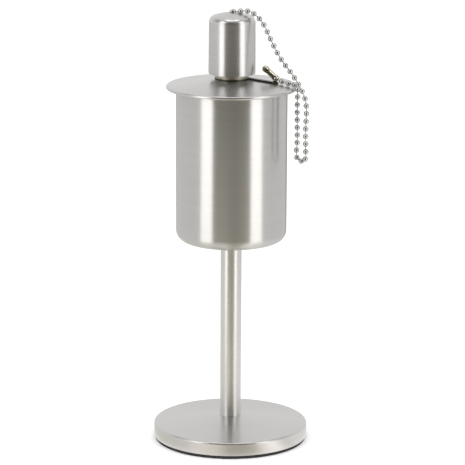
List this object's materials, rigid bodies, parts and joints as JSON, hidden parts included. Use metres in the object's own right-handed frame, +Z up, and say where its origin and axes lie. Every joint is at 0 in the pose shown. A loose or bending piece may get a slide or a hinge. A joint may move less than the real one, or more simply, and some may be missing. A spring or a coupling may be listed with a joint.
{
  "type": "table torch",
  "caption": "Table-top oil torch: round weighted base, thin stem, deep oil tank, push-fit lid with a wick, and a snuffer cap on a bead chain.",
  "frame": {"origin": "centre of the underside of the base's pad, on the surface the torch stands on", "axes": "+Z up along the stem and tank; +X towards the side where the bead chain hangs; -Y is the front"},
  "size_m": [0.095, 0.095, 0.2718],
  "materials": {
    "brushed_steel": "fine brushing round the axis",
    "polished_steel": "smooth pressed sheet",
    "blackened_steel": "blackened sheet",
    "nickel_chain": "bright nickel plate",
    "zinc_plate": "dull zinc plate",
    "brass": "turned",
    "cast_iron": "rough",
    "foam_pad": "closed-cell foam",
    "seal_rubber": "moulded",
    "wick_fabric": "braided glass fibre"
  },
  "bodies": {
    "stand": {"base_pad": "foam_pad", "base_cover": "brushed_steel", "base_weight": "cast_iron", "base_washer": "zinc_plate", "base_screw": "zinc_plate", "stem_tube": "brushed_steel", "stem_insert_lower": "zinc_plate", "stem_insert_upper": "zinc_plate", "tank_shell": "brushed_steel", "tank_seal": "seal_rubber", "tank_washer": "zinc_plate", "tank_screw": "zinc_plate"},
    "lid": {"lid_plate": "brushed_steel", "lid_collar": "brushed_steel", "lid_seal": "seal_rubber", "burner_gasket": "seal_rubber", "burner_nut": "brass", "wick_holder": "polished_steel", "wick_tube": "brushed_steel", "chain_lug": "blackened_steel", "chain_coupling": "nickel_chain", "chain_lower": "nickel_chain"},
    "wick": {"wick": "wick_fabric"},
    "cap": {"cap_shell": "brushed_steel", "cap_bush": "zinc_plate", "chain_stop": "nickel_chain", "chain_upper": "nickel_chain"}
  },
  "joints": [
    {"name": "lid_lift", "type": "slide", "parent": "stand", "child": "lid", "axis": [0, 0, 1], "range_m": [0, 0.09]},
    {"name": "wick_slide", "type": "slide", "parent": "lid", "child": "wick", "axis": [0, 0, 1], "range_m": [-0.003, 0.01]},
    {"name": "cap_lift", "type": "slide", "parent": "lid", "child": "cap", "axis": [0, 0, 1], "range_m": [0, 0.045]}
  ]
}
